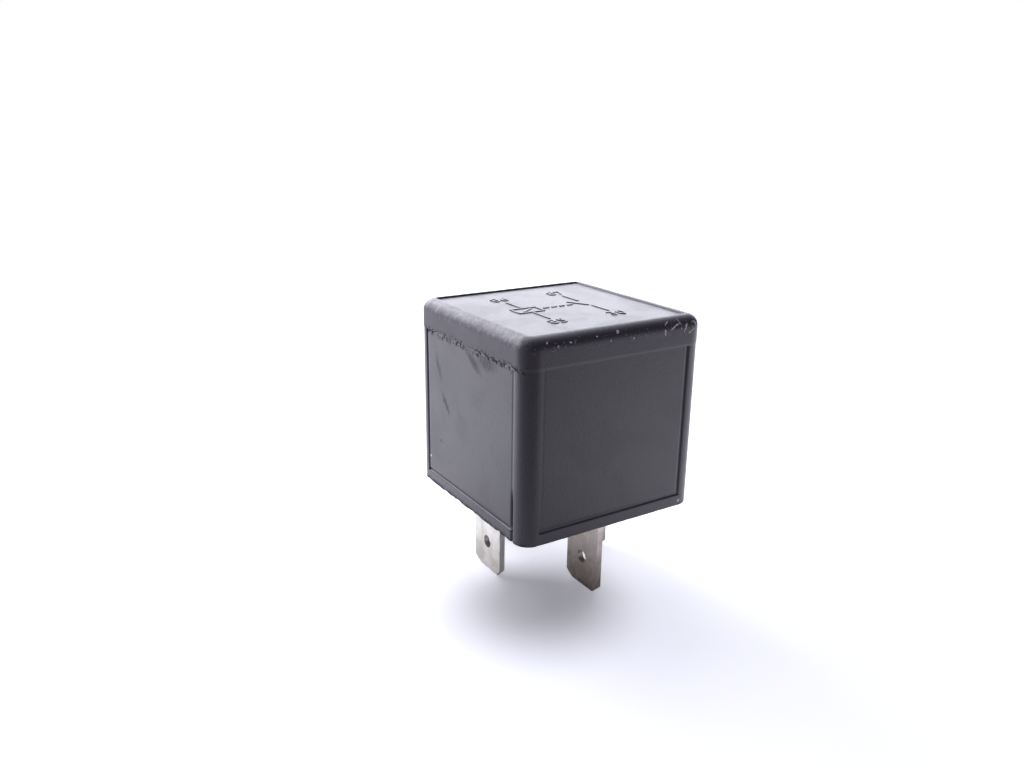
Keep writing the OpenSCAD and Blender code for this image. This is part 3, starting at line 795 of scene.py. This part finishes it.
def build_spring(material):
    """The leaf spring as a smooth bent sheet with a window, blended over the hinge."""
    joint = frame["joints"][0]
    hinge_y, hinge_z = (joint["pos_m"][i] / MM for i in (1, 2))
    tilt = math.radians(joint["range_deg"][1])
    flat_y, flat_z = math.cos(tilt), math.sin(tilt)
    leaf_lo, leaf_hi = (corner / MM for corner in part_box("contact_spring"))
    root_half = (leaf_hi.x - leaf_lo.x) / 2
    contact_lo, contact_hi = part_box("moving_contact")
    arm_front = (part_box("armature")[1] / MM).y
    thickness = 0.3
    arm_top = 1.55
    bend_r = 1.2
    tip_half = 2.5
    window_half = 1.5
    window_low = hinge_z - 2.4

    # up the yoke and round the bend, along the spring's inner side
    bend_y = hinge_y + bend_r
    bend_z = hinge_z + (arm_top - bend_r + bend_r * flat_z) / flat_y
    rows = [(hinge_y, z, root_half) for z in np.linspace(leaf_lo.z, bend_z, 18)]
    for a in np.linspace(math.pi, math.pi / 2 + tilt, 20)[1:]:
        rows.append((bend_y + bend_r * math.cos(a), bend_z + bend_r * math.sin(a), root_half))
    bend_end = len(rows)

    # the tongue lies along the armature at rest, its round tip about the contact
    y, z, _ = rows[-1]
    contact_out = ((contact_lo.y + contact_hi.y) / 2 / MM - hinge_y) / flat_y
    contact_out += arm_top * math.tan(tilt)
    straight = contact_out - (y - hinge_y) * flat_y - (z - hinge_z) * flat_z
    widen = (arm_front - 6.0 - y, arm_front - 1.0 - y)
    for s, half in tongue_rows(straight, tip_half, root_half, widen):
        rows.append((y + flat_y * s, z + flat_z * s, half))

    middles = [(a[1] + b[1]) / 2 for a, b in zip(rows, rows[1:])]
    window_rows = [i for i in range(bend_end + 1) if middles[i] > window_low]
    obj = leaf_mesh(rows, window_half, window_rows)
    solid = obj.modifiers.new("thickness", "SOLIDIFY")
    solid.thickness = thickness * MM
    solid.offset = 1.0
    set_material(obj, material)
    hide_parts("contact_spring")
    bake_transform(obj)


def dress_metal():
    """Materials and softened edges for the pieces that keep their CAD shape."""
    tin = metal_material(
        "tinned_brass", (0.68, 0.65, 0.60), (0.93, 0.90, 0.86), 0.34,
        streak=(1.0, 1.0, 0.06), stain=(0.42, 0.37, 0.29), amount=0.45,
    )
    iron = metal_material("zinc_plated_iron", (0.50, 0.50, 0.52), (0.68, 0.68, 0.69), 0.36)
    silver = metal_material("silver_contact", (0.78, 0.77, 0.74), (0.92, 0.91, 0.88), 0.28)
    copper = metal_material(
        "spring_copper", (0.66, 0.40, 0.22), (0.84, 0.56, 0.34), 0.32, streak=(1.0, 0.06, 1.0)
    )
    rivets = [
        f"{kind}_rivet_{side}" for kind in ("spring", "armature") for side in ("left", "right")
    ]
    for width, material, nodes in (
        (0.05, tin, ("terminal_85", "terminal_86", "terminal_87", "rest_stop")),
        # terminal 30 gets the darker copy of the brass, with painted shade
        (0.05, shaded_blade_material(), ("terminal_30",)),
        (0.08, iron, ("yoke", "core", "armature")),
        (0.06, iron, rivets),
        (0.08, silver, ("moving_contact", "fixed_contact")),
    ):
        for node in nodes:
            set_material(soften_edges(node, width), material)
    build_spring(copper)


def dress_plastic():
    """The cover, the base and the bobbin with its winding and tape."""
    black = cover_material()
    cover = build_cover()
    set_material(cover, black)
    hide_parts("cover")
    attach(cover, "housing")
    top_marks(black)
    base = moulded_material("base_plastic", (0.030, 0.030, 0.033), (0.055, 0.054, 0.058), 0.48)
    set_material(soften_edges("base", 0.06), base)
    base_numbers(base)
    nylon = moulded_material("bobbin_nylon", (0.74, 0.71, 0.60), (0.86, 0.84, 0.76), 0.45)
    set_material(soften_edges("bobbin", 0.1), nylon)
    wire = metal_material(
        "magnet_wire", (0.42, 0.14, 0.06), (0.66, 0.28, 0.12), 0.3, streak=(0.05, 0.05, 1.0)
    )
    set_material(frame["nodes"]["coil_winding"], wire)
    film = moulded_material("tape_film", (0.62, 0.48, 0.10), (0.76, 0.62, 0.18), 0.25)
    set_material(frame["nodes"]["coil_tape"], film)


# ---------------------------------------------------------------- stage
def build_camera():
    """The photograph's viewpoint: a short lens close in, turned a little left of centre."""
    yaw, pitch, roll = CAMERA_YAW, CAMERA_PITCH, CAMERA_ROLL
    forward = Vector(
        (math.sin(yaw) * math.cos(pitch), math.cos(yaw) * math.cos(pitch), -math.sin(pitch))
    )
    level = Vector((math.cos(yaw), -math.sin(yaw), 0.0))
    upright = level.cross(forward)
    right = math.cos(roll) * level + math.sin(roll) * upright
    up = -math.sin(roll) * level + math.cos(roll) * upright
    data = bpy.data.cameras.new("camera")
    data.sensor_width = CAMERA_SENSOR
    data.lens = CAMERA_LENS
    data.clip_start = 0.001
    camera = add_object("camera", data)
    axes = Matrix((right, up, -forward)).transposed().to_4x4()
    camera.matrix_world = Matrix.Translation(Vector(CAMERA_PLACE) * MM) @ axes
    bpy.context.scene.camera = camera


def area_lamp(name, place, size, radiance, tint):
    """A soft rectangular lamp of a given brightness, aimed at the object."""
    data = bpy.data.lights.new(name, "AREA")
    data.shape = "RECTANGLE"
    data.size, data.size_y = size
    data.energy = radiance * math.pi * size[0] * size[1]
    data.color = tint
    lamp = add_object(name, data)
    lamp.location = place
    lamp.visible_camera = False
    aim = Vector(LAMP_TARGET) - Vector(place)
    lamp.rotation_euler = aim.to_track_quat("-Z", "Y").to_euler()


def floor_glow(s):
    """How much the floor glows: to the camera, and to reflections in the object."""
    rays = s.node("ShaderNodeLightPath").outputs
    # to the camera it glows least round the object, so that the shadow there stays,
    # and fades into the white surround further out
    off = s.vector_math("DISTANCE", s.place, SHADOW_CENTRE, output="Value")
    fade = s.total(s.ramp(off, *SHADOW_FADE), s.ramp(off, *HORIZON_FADE))
    # in reflections it is bright behind the object only, and dark close under it
    away = s.vector_math("LENGTH", s.place, output="Value")
    behind = s.ramp(s.total(s.axis("X"), s.axis("Y")), *FLOOR_BEHIND, 0.0, FLOOR_GLOSSY)
    lit = s.product(behind, s.ramp(away, *FLOOR_UNDER))
    mirrored = s.largest(rays["Is Glossy Ray"], rays["Is Transmission Ray"])
    return s.total(s.product(rays["Is Camera Ray"], fade), s.product(mirrored, lit))


def build_floor():
    """A plain white floor that fades into the white surround."""
    half = FLOOR_HALF / MM
    corners = [(-half, -half, 0.0), (half, -half, 0.0), (half, half, 0.0), (-half, half, 0.0)]
    floor = mesh_object("floor", corners, [(0, 1, 2, 3)])
    s = Shade("floor_paper")
    s.set(Base_Color=s.mix(s.noise(60, 3, 0.6), *FLOOR_TONES), Roughness=0.8)
    s.set(Emission_Color=FLOOR_GLOW_TINT, Emission_Strength=floor_glow(s))
    set_material(floor, s.material)


def build_surround():
    """Plain white to the camera, dim to the floor, and brighter behind to reflections."""
    world = bpy.data.worlds.new("surround")
    bpy.context.scene.world = world
    world.use_nodes = True
    s = Nodes(world.node_tree, "Generated")
    rays = s.node("ShaderNodeLightPath").outputs
    toward = s.vector_math("DOT_PRODUCT", s.place, BRIGHT_SIDE, output="Value")
    mirrored = s.ramp(toward, *BRIGHT_RANGE, *WORLD_GLOSSY)
    last = world.node_tree.nodes["Background"]
    s.feed(last.inputs["Color"], SKY_TINT)
    s.feed(last.inputs["Strength"], WORLD_AMBIENT)
    for ray, colour, strength in (
        ("Is Glossy Ray", SKY_TINT, mirrored),
        ("Is Transmission Ray", SKY_TINT, mirrored),
        ("Is Camera Ray", (1.0, 1.0, 1.0), 1.0),
    ):
        light = s.node("ShaderNodeBackground", {"Color": colour, "Strength": strength})
        shaders = {0: rays[ray], 1: last.outputs[0], 2: light.outputs[0]}
        last = s.node("ShaderNodeMixShader", shaders)
    s.feed(world.node_tree.nodes["World Output"].inputs["Surface"], last.outputs[0])


scene = bpy.context.scene
scene.view_settings.view_transform = "Standard"
build_camera()
build_floor()
build_surround()
for lamp in LAMPS:
    area_lamp(*lamp)
dress_plastic()
dress_metal()
